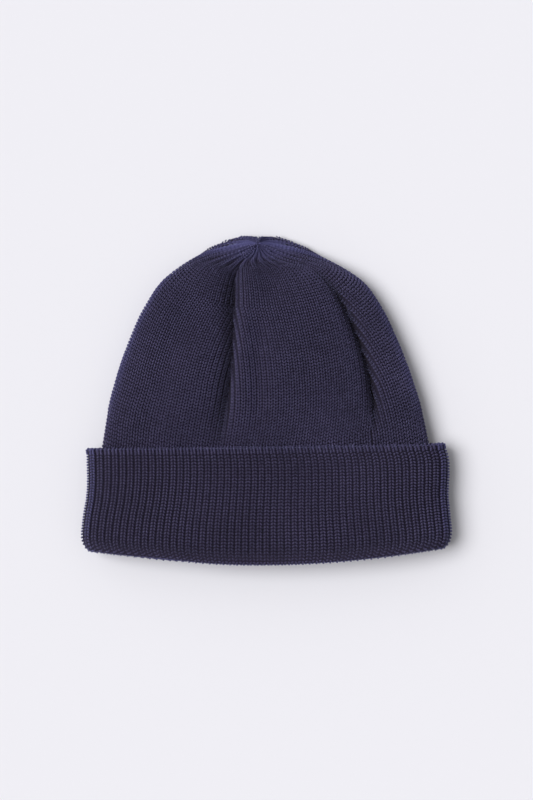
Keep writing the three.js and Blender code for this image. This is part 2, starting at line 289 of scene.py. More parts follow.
skin_out = grid_normals(skin)
print("skin grid:", skin.shape[:2], "girth at the rim", round(girth[0]), "mm")


# %% [markdown]
# ## Darts, folds and gathers
#
# A real crown is shaped by four darts, where ribs end against a sloping line and the knit is drawn
# in. Laid flat, the darts sink and the knit between them puckers. Each row of the folds table is
# one crease or soft hollow that presses the skin inwards. A cloth simulation could make creases
# too, but not these ones in these places.


# %% Pressing the folds in
def through(low, middle, high, t):
    return low * (1 - t) * (1 - 2 * t) + 4 * middle * t * (1 - t) + high * t * (2 * t - 1)


def wave(turns):
    """A smooth rise from 0 to 1 and back, once each turn."""
    return 0.5 - 0.5 * np.cos(2 * math.pi * turns)


def fold_place(fold, up):
    return through(*(FOLDS[name][fold] for name in ("low", "middle", "high")), np.clip(up, 0, 1))


def pressed_in(around, height, ring_length):
    """How deep all folds and gathers together press the skin in."""
    up = crown_up(height)
    depth = np.zeros(np.broadcast(around, height).shape)
    for fold in range(len(FOLDS["low"])):
        row = {name: values[fold] for name, values in FOLDS.items()}
        strength = band(up, row["from"], row["full"], row["fade"], row["to"])
        off = around - fold_place(fold, up)
        off = off - np.round(off)
        width = row["width"] * crown_half * np.where(off > 0, row["wide"], 1)
        reach = np.abs(off * ring_length) / width
        depth = depth + DART_DEPTH * row["depth"] * strength * np.exp(-(reach ** row["crisp"]))
    return depth + GATHER_DEPTH * band(up, *GATHER_SPAN) * wave(GATHERS * around)


depth = pressed_in(places[None, :], heights[:, None], girth[:, None])
folded = skin - skin_out * depth[..., None]
folded_out = grid_normals(folded)
print("deepest fold:", round(float(depth.max()), 1), "mm")

# %% [markdown]
# Each point of the crown also keeps a number of painted light and shade, from -1 where painted
# shade makes the knit dark to 1 where a painted highlight makes it pale. Painted shade darkens the
# two front darts and the grooves between the gathers. Painted highlights make the tip and the sides
# a little paler.

# %% The crown's painted light and shade
# Painted shade: the creases of the front darts and the grooves between the gathers darkened in
# colour
CREASE_SHADES = table("fold near far strength", (0, 2.4, 4.2, 1), (1, 1.8, 8, 0.85))
CREASE_SHADE_SPAN = (0.22, 0.7, 0.9)
GATHER_SHADE, SHADE_SPAN = 0.45, (184, 190, 198, 205)
# Painted highlights: the tip and the sides made paler in colour
TIP_HIGHLIGHT, TIP_HIGHLIGHT_SPAN = 0.3, (192, 208)
SIDE_HIGHLIGHT, SIDE_HIGHLIGHT_SPAN, SIDE_START = 0.3, (80, 120), 0.93

tall = heights[:, None]
up_all = crown_up(tall)
painted_shade = np.zeros(depth.shape)
for fold, near, far, strength in zip(*CREASE_SHADES.values()):
    shade_strength = band(up_all, FOLDS["from"][int(fold)], *CREASE_SHADE_SPAN)
    aside = places[None, :] - fold_place(int(fold), up_all)
    aside = (aside - np.round(aside)) * girth[:, None]
    reach = aside / np.where(aside > 0, far, near)
    painted_shade = np.maximum(painted_shade, strength * shade_strength * np.exp(-(reach**2)))
grooves = wave(GATHERS * places[None, :]) ** 2
painted_shade = np.maximum(painted_shade, GATHER_SHADE * grooves * band(tall, *SHADE_SPAN))
at_side = ramp(np.abs(skin_across), SIDE_START, 1) * ramp(tall, *SIDE_HIGHLIGHT_SPAN)
painted_highlight = TIP_HIGHLIGHT * ramp(tall, *TIP_HIGHLIGHT_SPAN) + SIDE_HIGHLIGHT * at_side
painted_shading = painted_highlight * (1 - painted_shade) - painted_shade
print("darkest tone:", round(float(painted_shading.min()), 2), "palest:", round(float(painted_shading.max()), 2))


# %% Reading a grid anywhere
def read(grid, around, height):
    """The grid's value at places round the cap and heights, read between its points."""
    row = np.clip(height / HEIGHT_STEP, 0, len(grid) - 1.001)
    col = (around % 1) * PLACE_STEPS
    r, c = row.astype(int), col.astype(int)
    c2 = (c + 1) % PLACE_STEPS
    c = c % PLACE_STEPS
    fr, fc = row - r, col - np.floor(col)
    if grid.ndim == 3:
        fr, fc = fr[..., None], fc[..., None]
    low = grid[r, c] * (1 - fc) + grid[r, c2] * fc
    high = grid[r + 1, c] * (1 - fc) + grid[r + 1, c2] * fc
    return low * (1 - fr) + high * fr


def crown_surface(around, height, inset):
    """A point on the crown with its folds, set in by some depth."""
    around, height = np.broadcast_arrays(around, height)
    depth_here = read(depth, around, height) + inset
    return read(skin, around, height) - read(skin_out, around, height) * depth_here[..., None]


def cuff_surface(around, height, offset):
    """A point on the cuff, set off outwards from the crown's unfolded skin."""
    around, height, offset = np.broadcast_arrays(around, height, offset)
    across = read(skin_across, around, height)
    place = read(skin, around, height) + read(skin_out, around, height) * offset[..., None]
    aside = standoff(height) * np.clip(offset / LAYER_GAP, 0, 1) * np.sign(across) * across**4
    place[..., 0] += aside
    return place


# %% [markdown]
# ## Building meshes from rings
#
# The model's frame has its origin under the middle of the cap, and the skin is measured from the
# rim, so every mesh is moved by the same step along Y. Each ground piece is a stack of rings joined
# into quads. It is closed, so that it exports as a solid.

# %% From millimetres to the frame
MAP_NAME = "OFBake"
rim_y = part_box("cuff")[0][1]
print("rim at y =", round(rim_y / MM, 2), "mm")


def to_frame(points):
    placed = np.asarray(points, float) * MM
    placed[..., 1] += rim_y
    return placed


def mark_painted_shading(mesh, values):
    """Keep each point's painted light and shade with the mesh, where the material reads it."""
    attribute = mesh.attributes.new("painted_shading", "FLOAT", "POINT")
    attribute.data.foreach_set("value", np.asarray(values, np.float32).ravel())


def mesh_object(name, points, faces):
    mesh = bpy.data.meshes.new(name)
    mesh.from_pydata(to_frame(points).reshape(-1, 3).tolist(), [], faces)
    mesh.validate()
    mesh.update()
    mesh.shade_smooth()
    piece = bpy.data.objects.new(name, mesh)
    bpy.context.scene.collection.objects.link(piece)
    return piece


def ring_faces(rows, columns, closed_rows=False):
    """Quads between rings, which go round the cap from its right edge over the top."""
    faces = []
    for row in range(rows if closed_rows else rows - 1):
        for col in range(columns):
            right, above = (col + 1) % columns, (row + 1) % rows
            low, high = row * columns, above * columns
            faces.append((low + col, high + col, high + right, low + right))
    return faces


def lay_map(piece, rows, columns, closed_rows=False):
    """A UV map that lays the rings out flat. Faces that close an end share one point."""
    total = rows if closed_rows else rows - 1
    uv = []
    for row in range(total):
        for col in range(columns):
            corners = ((row, col), (row + 1, col), (row + 1, col + 1), (row, col + 1))
            uv += [(c / columns, r / total) for r, c in corners]
    uv += [(0.5, 1)] * (len(piece.data.loops) - len(uv))
    layer_uv = piece.data.uv_layers.new(name=MAP_NAME)
    layer_uv.data.foreach_set("uv", np.array(uv, np.float32).ravel())


# %% [markdown]
# ## The grounds
#
# Between the raised ribs of a 1 by 1 rib run the purl ribs, which sink back and show only as dark
# grooves. The ground is that lower layer. On the crown it lies a little under the solid's surface,
# and the stitches stand on it.

# %% The crown's ground
GROUND_SINK = 1.55
SINK_LENGTH = 4
TIP_RISE, TIP_RISE_SPAN = 0.5, (190, 206)
TUCKED_HEIGHTS = (13, 25, 37, 50, 62)
LAST_TUCKED = 70
INNER_START, INNER_END, INNER_RINGS = 80, 0.93, 34
OUTER_START, OUTER_CLEAR, OUTER_RINGS = 77, 1.2, 76
TIP_POINT = 0.4
# Painted highlight at the crown's last point, the tip
TIP_POINT_HIGHLIGHT = 0.3
CROWN_ROUND = 4 * RIBS
crown_places = np.arange(CROWN_ROUND) / CROWN_ROUND
start = RIM_LIP + LIP_GAP
inner_climb = np.linspace(INNER_START, CUFF_HEIGHT + INNER_END * crown_length, INNER_RINGS)
outer_climb = np.linspace(OUTER_START, CAP_LENGTH - OUTER_CLEAR, OUTER_RINGS)
inner_heights = np.array([start, *TUCKED_HEIGHTS, CUFF_HEIGHT, *inner_climb])
outer_heights = np.array([start, *TUCKED_HEIGHTS, LAST_TUCKED, CUFF_HEIGHT, *outer_climb])
inner_rings = [crown_surface(crown_places, h, WALL) for h in inner_heights[::-1]]
sunk = GROUND_SINK * ramp(outer_heights, CUFF_HEIGHT - SINK_LENGTH, CUFF_HEIGHT)
sunk = sunk * (1 - TIP_RISE * ramp(outer_heights, *TIP_RISE_SPAN))
outer_rings = [crown_surface(crown_places, h, inset) for h, inset in zip(outer_heights, sunk)]
crown_rings = np.stack(inner_rings + outer_rings)
rows = len(crown_rings)
inner_end = crown_rings[0].mean(0) + (0, -WALL / 2, 0)
outer_end = crown_rings[-1].mean(0) + (0, TIP_POINT, 0)
crown_points = np.concatenate([crown_rings.reshape(-1, 3), [inner_end, outer_end]])
crown_faces = ring_faces(rows, CROWN_ROUND)
top_row = (rows - 1) * CROWN_ROUND
for col in range(CROWN_ROUND):
    right = (col + 1) % CROWN_ROUND
    crown_faces.append((rows * CROWN_ROUND, col, right))
    crown_faces.append((top_row + right, top_row + col, rows * CROWN_ROUND + 1))
crown = mesh_object("crown_ground", crown_points, crown_faces)
lay_map(crown, rows, CROWN_ROUND)
# Each ring's painted light and shade, with a painted highlight at the tip's point
painted_shading_rings = [read(painted_shading, crown_places, h) for h in (*inner_heights[::-1], *outer_heights)]
mark_painted_shading(crown.data, [*np.concatenate(painted_shading_rings), 0, TIP_POINT_HIGHLIGHT])
print("crown ground:", len(crown.data.polygons), "faces")


# %% [markdown]
# The cuff's knit comes out of the mouth, folds round the rim and climbs to its free edge, so a
# single path describes it: up inside the lip, round the fold, up the outside and over the edge. The
# ground follows that path with a ridge under each rib, and the stitches are set along it later, at
# even steps.


# %% The cuff's path
EDGE_ROUND = 1.45
EDGE_SINK_SHARE = 0.6
PATH_STEP = 0.25
FOLD_STEPS, EDGE_STEPS = 40, 18


def cuff_path(sink):
    """(height, offset) along the knit's face: inside the lip, round the rim, over the edge."""
    inside = -WALL + sink
    outside = layer - sink
    middle, radius = (inside + outside) / 2, (outside - inside) / 2
    lip = [(h, inside) for h in np.arange(RIM_LIP, rim_round, -PATH_STEP)]
    turn = np.linspace(0, math.pi, FOLD_STEPS + 1)
    fold = [(rim_round - radius * math.sin(a), middle - radius * math.cos(a)) for a in turn]
    curl = EDGE_ROUND - sink * EDGE_SINK_SHARE
    climb_end = CUFF_HEIGHT - EDGE_ROUND
    climb = [(h, outside) for h in np.arange(rim_round + PATH_STEP, climb_end, PATH_STEP)]
    back = np.linspace(0, math.pi, EDGE_STEPS + 1)
    edge = [(climb_end + curl * math.sin(a), outside - curl * (1 - math.cos(a))) for a in back]
    return np.array(lip + fold + climb + edge)


def evenly(path, step):
    """Points of a path at even steps along it."""
    lengths = np.concatenate([[0], np.cumsum(np.hypot(*np.diff(path, axis=0).T))])
    count = round(lengths[-1] / step)
    at = np.linspace(0, lengths[-1], count + 1)
    return np.stack([np.interp(at, lengths, path[:, 0]), np.interp(at, lengths, path[:, 1])], 1)


# %% The cuff's ground
GROUND_PATH_SINK = 0.75
GROUND_STEP = 1.5
GROUND_BED, GROOVE = 0.5, 0.8
BED_SPAN = (3, 13, CUFF_HEIGHT - 5, CUFF_HEIGHT - 1.5)
BACK_HEIGHTS = (CUFF_HEIGHT - 3, CUFF_HEIGHT / 2, 0.17 * CUFF_HEIGHT, RIM_LIP)
CUFF_ROUND = 6 * RIBS
cuff_places = np.arange(CUFF_ROUND) / CUFF_ROUND
ground_path = evenly(cuff_path(GROUND_PATH_SINK), GROUND_STEP)
cuff_rings = np.stack([cuff_surface(cuff_places, h, o) for h, o in ground_path])
cuff_out = grid_normals(cuff_rings)
bed = (GROUND_BED + GROOVE * wave(RIBS * cuff_places)) * band(ground_path[:, :1], *BED_SPAN)
cuff_rings = cuff_rings - cuff_out * bed[..., None]
back_rings = np.stack([cuff_surface(cuff_places, h, LAYER_GAP) for h in BACK_HEIGHTS])
cuff_all = np.concatenate([cuff_rings, back_rings])
cuff_faces = ring_faces(len(cuff_all), CUFF_ROUND, True)
cuff = mesh_object("cuff_ground", cuff_all.reshape(-1, 3), cuff_faces)
lay_map(cuff, len(cuff_all), CUFF_ROUND, True)
mark_painted_shading(cuff.data, np.zeros(len(cuff.data.vertices)))
print("cuff ground:", len(cuff.data.polygons), "faces")

# %% [markdown]
# ## Where the stitches sit
#
# A knitted stitch is a V of two leaning legs. Stitches stack in ribs, side by side, and in rows
# that knitters call courses. On the cuff the ribs are straight. On the crown each quarter has its
# own ribs, which keep their spacing and run out against a dart, one by one, until the last few
# centimetres, where those left over are drawn to the tip.

# %% The cuff's stitches
COURSE = 2.0
STITCH_SINK = 0.9
PLUMP_PITCH, PLUMPEST = 3.4, 1.1
CLOSE_EDGE = CUFF_HEIGHT - 3
FOLD_WIDER, FOLD_LOWER, FOLD_SPAN = 1.15, 0.6, (2, 12)
stitch_path = evenly(cuff_path(STITCH_SINK), COURSE)
edge_path = evenly(cuff_path(STITCH_SINK), COURSE / 2)
below_edge, at_edge = stitch_path[:, 0] < CLOSE_EDGE, edge_path[:, 0] >= CLOSE_EDGE
stitch_path = np.concatenate([stitch_path[below_edge], edge_path[at_edge]])
rib_places = np.arange(RIBS) / RIBS
cuff_grid = np.stack([cuff_surface(rib_places, h, o) for h, o in stitch_path])
cuff_climb = np.gradient(cuff_grid, axis=0)
cuff_pitch = np.linalg.norm(np.roll(cuff_grid, -1, 1) - np.roll(cuff_grid, 1, 1), axis=-1) / 2
cuff_height = stitch_path[:, :1]
clear_of_fold = ramp(cuff_height, *FOLD_SPAN)
cuff_size = np.stack(
    [
        cuff_pitch * mix(FOLD_WIDER, 1, clear_of_fold),
        np.broadcast_to(COURSE, cuff_pitch.shape),
        np.minimum(cuff_pitch / PLUMP_PITCH, PLUMPEST) * mix(FOLD_LOWER, 1, clear_of_fold),
    ],
    -1,
)

# %% [markdown]
# The cuff's stitches have painted light and shade too. Painted highlights make them pale at the
# sides, round the fold and, barely, at the free edge, and painted shade makes them dark just above
# the fold.

# %% The cuff's painted light and shade
# Painted highlights at the sides, round the fold and at the free edge; painted shade just above the
# fold
CUFF_SIDE_HIGHLIGHT, CUFF_SIDE_START = 0.4, 0.95
FOLD_HIGHLIGHT, FOLD_HIGHLIGHT_SPAN = 0.5, (0.5, 3)
EDGE_HIGHLIGHT, EDGE_HIGHLIGHT_LENGTH = 0.06, 4
ABOVE_FOLD_SHADE, ABOVE_FOLD_SPAN = 0.3, (3, 6, 9, 16)
cuff_across = np.abs(read(skin_across, rib_places, cuff_height))
cuff_painted_shading = CUFF_SIDE_HIGHLIGHT * ramp(cuff_across, CUFF_SIDE_START, 1)
cuff_painted_shading = cuff_painted_shading + FOLD_HIGHLIGHT * (1 - ramp(cuff_height, *FOLD_HIGHLIGHT_SPAN))
cuff_painted_shading = cuff_painted_shading + EDGE_HIGHLIGHT * ramp(cuff_height, CUFF_HEIGHT - EDGE_HIGHLIGHT_LENGTH, CUFF_HEIGHT)
cuff_painted_shading = cuff_painted_shading - ABOVE_FOLD_SHADE * band(cuff_height, *ABOVE_FOLD_SPAN)
cuff_stitches = {
    "place": cuff_grid.reshape(-1, 3),
    "out": grid_normals(cuff_grid).reshape(-1, 3),
    "climb": -cuff_climb.reshape(-1, 3),
    "size": cuff_size.reshape(-1, 3),
    "painted_shading": np.ravel(cuff_painted_shading),
}
print("cuff stitches:", len(cuff_stitches["place"]))

# %% The crown's stitches
CROWN_RIBS = 124
BODY_PITCH = 3.3
FINEST_PITCH = 2.3
WIDEST_STITCH = 3.6
TRANSFER_HEIGHT = 162
FIRST_COURSE = 46
TIP_CLEAR = 1.5
RUN_OUT = 2.5
RIB_MARGIN = 0.2
SHOWN_FROM, SHOWN_TO = CUFF_HEIGHT - 5, CAP_LENGTH - 0.5
STITCH_INSET = 0.75
MOST_HALVINGS = 5
TAKEN_IN, TAKEN_IN_SPAN = 0.25, (161, 164, 172, 182)

# How far a row of stitches bows up towards the cap's edges, at some heights
BOW = table(
    "up bow",
    (20, 14),
    (37, 16),
    (50, 18),
    (75, 21),
    (100, 23),
    (130, 24),
    (150, 24),
    (162, 23),
    (175, 20),
    (185, 14),
    (195, 7),
    (210, 0),
)

# The fold on each side of a quarter, and what share of its ribs runs out against the first
QUARTERS = ((8, 0, 0), (0, 1, 0.45), (1, 7, 1), (7, 8, 0.5))


def girth_at(height):
    return np.interp(height, heights, girth)


def pitch_at(height):
    """How far apart the ribs are: even up the body, then drawn together to the tip."""
    natural = girth_at(height) / CROWN_RIBS
    climbed = np.clip((height - CUFF_HEIGHT) / (TRANSFER_HEIGHT - CUFF_HEIGHT), 0, 1)
    held = mix(girth_at(CUFF_HEIGHT) / CROWN_RIBS, BODY_PITCH, climbed)
    drawn = BODY_PITCH * girth_at(height) / girth_at(TRANSFER_HEIGHT)
    above_cuff = np.where(height > TRANSFER_HEIGHT, drawn, held)
    return np.where(height < CUFF_HEIGHT, natural, above_cuff)


ring_steps = np.linalg.norm(np.diff(skin, axis=0), axis=-1).mean(1)
way_up = np.concatenate([[0], np.cumsum(ring_steps)])
first = np.interp(FIRST_COURSE, heights, way_up)
course_ways = np.arange(first, way_up[-1] - TIP_CLEAR, COURSE)
course_heights = np.interp(course_ways, way_up, heights)
course_girth = girth_at(course_heights)
up = crown_up(course_heights)
pitch = pitch_at(course_heights)
halvings = np.clip(np.ceil(np.log2(FINEST_PITCH / pitch)), 0, MOST_HALVINGS).astype(int)
calm = 1 - TAKEN_IN * band(course_heights, *TAKEN_IN_SPAN)
parts = {name: [] for name in ("place", "out", "climb", "size", "painted_shading")}
for dart_a, dart_b, share in QUARTERS:
    place_a, place_b = fold_place(dart_a, up), fold_place(dart_b, up)
    place_a = np.where(place_a > place_b, place_a - 1, place_a)
    fits = (place_b - place_a) * course_girth / pitch
    ribs_here = round((fold_place(dart_b, 0) - fold_place(dart_a, 0)) % 1 * CROWN_RIBS)
    short = ribs_here - fits
    lost_a = share * np.maximum(short + np.hypot(short, RUN_OUT) - RUN_OUT, 0) / 2
    for rib in range(ribs_here):
        offset = rib + 0.5 - lost_a
        around = place_a + offset * pitch / course_girth
        aside = np.where(around % 1 < 0.5, 0.25 - around % 1, around % 1 - 0.75) / 0.25
        height = course_heights + column(BOW, "bow", course_heights) * aside**2
        here = (offset > -RIB_MARGIN) & (offset < fits + RIB_MARGIN)
        here &= (height > SHOWN_FROM) & (height < SHOWN_TO)
        here &= rib % 2**halvings == 0
        place = crown_surface(around, height, STITCH_INSET)
        spacing = pitch * 2**halvings * girth_at(height) / course_girth
        width = np.minimum(spacing, WIDEST_STITCH)
        climb = np.gradient(place, axis=0)
        plump = np.minimum(width / PLUMP_PITCH, PLUMPEST) * calm
        size = np.stack([width, np.linalg.norm(climb, axis=1), plump], 1)
        parts["place"].append(place[here])
        parts["out"].append(unit(read(folded_out, around, height))[here])
        parts["climb"].append(climb[here])
        parts["size"].append(size[here])
        parts["painted_shading"].append(read(painted_shading, around, height)[here])
crown_stitches = {name: np.concatenate(values) for name, values in parts.items()}
print("crown stitches:", len(crown_stitches["place"]))

# %% [markdown]
# ## One stitch, set everywhere
#
# Thousands of stitches call for instances. A small mesh with one point for each stitch carries the
# direction of the stitch as attributes, and a Geometry Nodes tree puts a V of two plump legs on
# every point, turns it to the knit and scales it to the rib. The legs could be tubes along curves,
# but an ellipsoid of a few faces looks the same at this size and keeps the whole cap light.


# %% A tree builder
class Tree:
    """A node tree that is being built. One method adds any node."""

    def __init__(self, tree):
        self.tree = tree

    def node(self, kind, settings=None, inputs=None, output=0):
        added = self.tree.nodes.new(kind)
        for name, value in (settings or {}).items():
            setattr(added, name, value)
        for name, value in (inputs or {}).items():
            socket = added.inputs[name]
            source = getattr(value, "socket", value)
            if isinstance(source, bpy.types.NodeSocket):
                self.tree.links.new(source, socket)
            else:
                socket.default_value = source
        return added if output is None else added.outputs[output]


# %% The stitch tree
def stitch_tree():
    group = bpy.data.node_groups.new("knit stitches", "GeometryNodeTree")
    face = group.interface
    face.new_socket("Geometry", in_out="INPUT", socket_type="NodeSocketGeometry")
    defaults = {
        "Leg length": 0.52,
        "Leg width": 0.19,
        "Leg height": 0.78,
        "Leg lean": 0.2,
        "Leg spread": 0.24,
        "Unevenness": 0.12,
    }
    for name, value in defaults.items():
        socket = face.new_socket(name, in_out="INPUT", socket_type="NodeSocketFloat")
        socket.default_value = value
    face.new_socket("Wool", in_out="INPUT", socket_type="NodeSocketMaterial")
    face.new_socket("Geometry", in_out="OUTPUT", socket_type="NodeSocketGeometry")
    t = Tree(group)
    given = t.node("NodeGroupInput", output=None).outputs

    def maths(operation, a, b):
        return t.node("ShaderNodeMath", {"operation": operation}, {0: a, 1: b})

    def vector(x=0.0, y=0.0, z=0.0):
        return t.node("ShaderNodeCombineXYZ", None, {0: x, 1: y, 2: z})

    def leg(side):
        ball = t.node("GeometryNodeMeshIcoSphere", None, {"Radius": 1.0, "Subdivisions": 1})
        return t.node(
            "GeometryNodeTransform",
            None,
            {
                "Geometry": ball,
                "Translation": vector(maths("MULTIPLY", given["Leg spread"], side), 0.5),
                "Rotation": vector(0.0, 0.0, maths("MULTIPLY", given["Leg lean"], -side)),
                "Scale": vector(given["Leg width"], given["Leg length"], 1.0),
            },
        )

    legs = t.node("GeometryNodeJoinGeometry", output=None)
    for side in (1.0, -1.0):
        group.links.new(leg(side), legs.inputs[0])

    def attribute(name, kind):
        return t.node("GeometryNodeInputNamedAttribute", {"data_type": kind}, {"Name": name})

    turn = t.node(
        "FunctionNodeAxesToRotation",
        {"primary_axis": "Z", "secondary_axis": "Y"},
        {
            "Primary Axis": attribute("out", "FLOAT_VECTOR"),
            "Secondary Axis": attribute("climb", "FLOAT_VECTOR"),
        },
    )
    # Several sockets of this node are called Min and Max, so the two for plain numbers go by place.
    limits = {2: -1.0, 3: 1.0, "Seed": 7}
    uneven = t.node("FunctionNodeRandomValue", {"data_type": "FLOAT"}, limits, output=1)
    plump = maths("ADD", maths("MULTIPLY", uneven, given["Unevenness"]), 1.0)
    plumped = vector(1.0, 1.0, maths("MULTIPLY", plump, given["Leg height"]))
    size = t.node(
        "ShaderNodeVectorMath",
        {"operation": "MULTIPLY"},
        {0: attribute("size", "FLOAT_VECTOR"), 1: plumped},
    )
    stitches = t.node(
        "GeometryNodeInstanceOnPoints",
        None,
        {
            "Points": given["Geometry"],
            "Instance": legs.outputs[0],
            "Rotation": turn,
            "Scale": size,
        },
    )
    real = t.node("GeometryNodeRealizeInstances", None, {"Geometry": stitches})
    smooth_legs = t.node("GeometryNodeSetShadeSmooth", None, {0: real})
    covering = {"Geometry": smooth_legs, "Material": given["Wool"]}
    dressed = t.node("GeometryNodeSetMaterial", None, covering)
    t.node("NodeGroupOutput", None, {0: dressed}, output=None)
    return group


knit_tree = stitch_tree()
print("stitch tree:", len(knit_tree.nodes), "nodes")


# %% Setting the stitches
MAP_MARGIN = 0.01


def flat_map(piece):
    """A UV map seen from above, for pieces made of many small parts."""
    mesh = piece.data
    corners = np.empty(len(mesh.loops), np.int32)
    mesh.loops.foreach_get("vertex_index", corners)
    points = np.empty(len(mesh.vertices) * 3)
    mesh.vertices.foreach_get("co", points)
    flat = points.reshape(-1, 3)[:, :2]
    low, high = flat.min(0), flat.max(0)
    uv = MAP_MARGIN + (1 - 2 * MAP_MARGIN) * (flat - low) / (high - low)
    layer_uv = mesh.uv_layers.new(name=MAP_NAME)
    layer_uv.data.foreach_set("uv", uv[corners].astype(np.float32).ravel())


def set_stitches(name, stitches, chosen, wool, legs):
    """One piece of stitches: a mesh of points, dressed by the tree and made a plain mesh.

    A stitch that would reach through the floor is set just above it.
    """
    points, size = stitches["place"][chosen].copy(), stitches["size"][chosen]
    out, climb = stitches["out"][chosen], unit(stitches["climb"][chosen])
    reach_down = size[:, 2] * np.abs(out[:, 2]) + size[:, 1] * np.abs(climb[:, 2])
    points[:, 2] = np.maximum(points[:, 2], reach_down)
    host = mesh_object(name + "_points", points, [])
    for attribute_name, values in (("out", out), ("climb", climb), ("size", size * MM)):
        attribute = host.data.attributes.new(attribute_name, "FLOAT_VECTOR", "POINT")
        attribute.data.foreach_set("vector", np.asarray(values, np.float32).ravel())
    # Each stitch keeps its painted light and shade for the material
    mark_painted_shading(host.data, stitches["painted_shading"][chosen])
    knit = host.modifiers.new("knit", "NODES")
    knit.node_group = knit_tree
    inputs = {**legs, "Wool": wool}
    for item in knit_tree.interface.items_tree:
        if item.in_out == "INPUT" and item.name in inputs:
            knit[item.identifier] = inputs[item.name]
    bpy.context.view_layer.update()
    evaluated = host.evaluated_get(bpy.context.evaluated_depsgraph_get())
    mesh = bpy.data.meshes.new_from_object(evaluated)
    mesh.name = name
    for attribute_name in ("out", "climb", "size"):
        if attribute_name in mesh.attributes:
            mesh.attributes.remove(mesh.attributes[attribute_name])
    host.modifiers.remove(knit)
    bpy.data.objects.remove(host)
    piece = bpy.data.objects.new(name, mesh)
    bpy.context.scene.collection.objects.link(piece)
    flat_map(piece)
    print(name + ":", len(points), "stitches,", len(mesh.polygons), "faces")
    return piece


# %% [markdown]
# ## Wool
#
# Navy wool isn't one blue. The yarn is spun from fibres of slightly different shades, each stitch
# takes the light a little differently, and a soft halo of fibre ends lightens the edges. The colour
# comes from noise at three sizes, the halo from the shader's sheen, and the twist of the yarn from
# a fine bump. Besides, each point keeps a number of painted light and shade. A painted highlight
# makes the knit paler where it folds sharply or is gathered, and painted shade makes it almost black
# deep in a dart's crease and between the gathers. The painted light and shade is a stand-in, because
# its colour stays where it is when the light moves. Loose fibres and creases pressed shut would do
# it properly, at many times the triangles.


# %% Shader maths as expressions
class Value:
    """A socket for arithmetic. Each operator adds its Math node."""

    def __init__(self, tree, socket):
        self.tree, self.socket = tree, socket

    def _maths(self, operation, a, b):
        added = self.tree.node("ShaderNodeMath", {"operation": operation}, {0: a, 1: b})
        return Value(self.tree, added)

    def __add__(self, other):
        return self._maths("ADD", self, other)

    __radd__ = __add__

    def __mul__(self, other):
        return self._maths("MULTIPLY", self, other)


def linear(red, green, blue):
    """A colour as a screen shows it, turned into light."""
    shown = [c / 255 for c in (red, green, blue)]
    light = [c / 12.92 if c <= 0.04045 else ((c + 0.055) / 1.055) ** 2.4 for c in shown]
    return (*light, 1)


# %% The wool material
# The scale and the detail of each noise
FIBRE, STITCH, CLOUD = (1400.0, 2.0), (320.0, 1.0), (24.0, 2.0)
TWIST_SCALE, TWIST_STRENGTH = 260.0, 0.25
BUMP_DEPTH = 0.0002
SHEEN_TINT = (0.42, 0.45, 0.85, 1.0)
# Painted shade colour for the creases and painted highlight colour for the pale places
SHADE_STRENGTH = 0.92
SHADE_COLOUR = linear(22, 18, 24)
HIGHLIGHT_COLOUR = linear(96, 95, 148)


def wool_material(name, dark, light, seed):
    material = bpy.data.materials.new(name)
    material.use_nodes = True
    material.node_tree.nodes.clear()
    t = Tree(material.node_tree)
    place = t.node("ShaderNodeTexCoord", output="Object")
    moved = (seed, seed * 0.37, 0.0)
    yarn_place = t.node("ShaderNodeVectorMath", {"operation": "ADD"}, {0: place, 1: moved})

    def noise(scale, detail):
        """Cloudy noise between -0.5 and 0.5."""
        inputs = {"Vector": yarn_place, "Scale": scale, "Detail": detail}
        raw = t.node("ShaderNodeTexNoise", {"noise_dimensions": "3D"}, inputs)
        limits = {"From Min": 0.3, "From Max": 0.7, "To Min": -0.5, "To Max": 0.5}
        return Value(t, t.node("ShaderNodeMapRange", None, {"Value": raw, **limits}))

    def blend(share, a, b):
        settings = {"data_type": "RGBA", "clamp_factor": True}
        return t.node("ShaderNodeMix", settings, {0: share, 6: a, 7: b}, output=2)

    fibre, stitch, cloud = noise(*FIBRE), noise(*STITCH), noise(*CLOUD)
    yarn = blend(fibre * 0.5 + stitch * 0.35 + cloud * 0.35 + 0.5, dark, light)
    # Painted light and shade: a painted highlight lightens the yarn, then painted shade darkens it
    painted_amount = Value(t, t.node("ShaderNodeAttribute", {"attribute_name": "painted_shading"}, output="Fac"))
    highlighted = blend(painted_amount, yarn, HIGHLIGHT_COLOUR)
    colour = blend(painted_amount * -SHADE_STRENGTH, highlighted, SHADE_COLOUR)
    twisted = t.node(
        "ShaderNodeTexWave",
        {"wave_type": "BANDS", "bands_direction": "DIAGONAL"},
        {"Vector": place, "Scale": TWIST_SCALE, "Distortion": 3.0, "Detail": 1.0},
        output=1,
    )
    relief = Value(t, twisted) * TWIST_STRENGTH + fibre * 0.5
    raised = {"Strength": 0.5, "Distance": BUMP_DEPTH, "Height": relief}
    bump = t.node("ShaderNodeBump", None, raised)
    rough = 0.92 + fibre * 0.08
    wool = t.node(
        "ShaderNodeBsdfPrincipled",
        None,
        {
            "Base Color": colour,
            "Roughness": rough,
            "Normal": bump,
            "Specular IOR Level": 0.15,
            "Sheen Weight": 0.7,
            "Sheen Roughness": 0.35,
            "Sheen Tint": SHEEN_TINT,
        },
    )
    t.node("ShaderNodeOutputMaterial", None, {"Surface": wool}, output=None)
    return material


navy_knit = wool_material("navy_knit", linear(48, 44, 66), linear(83, 77, 110), 3.1)
# The ground is the same yarn given darker colours: painted shade that deepens the grooves between
# the ribs
navy_ground_painted_shade = wool_material("navy_ground_painted_shade", linear(30, 26, 40), linear(46, 41, 60), 5.7)
print("materials:", navy_knit.name, navy_ground_painted_shade.name)

# %% Dressing the grounds
for ground in (crown, cuff):
    ground.data.materials.append(navy_ground_painted_shade)

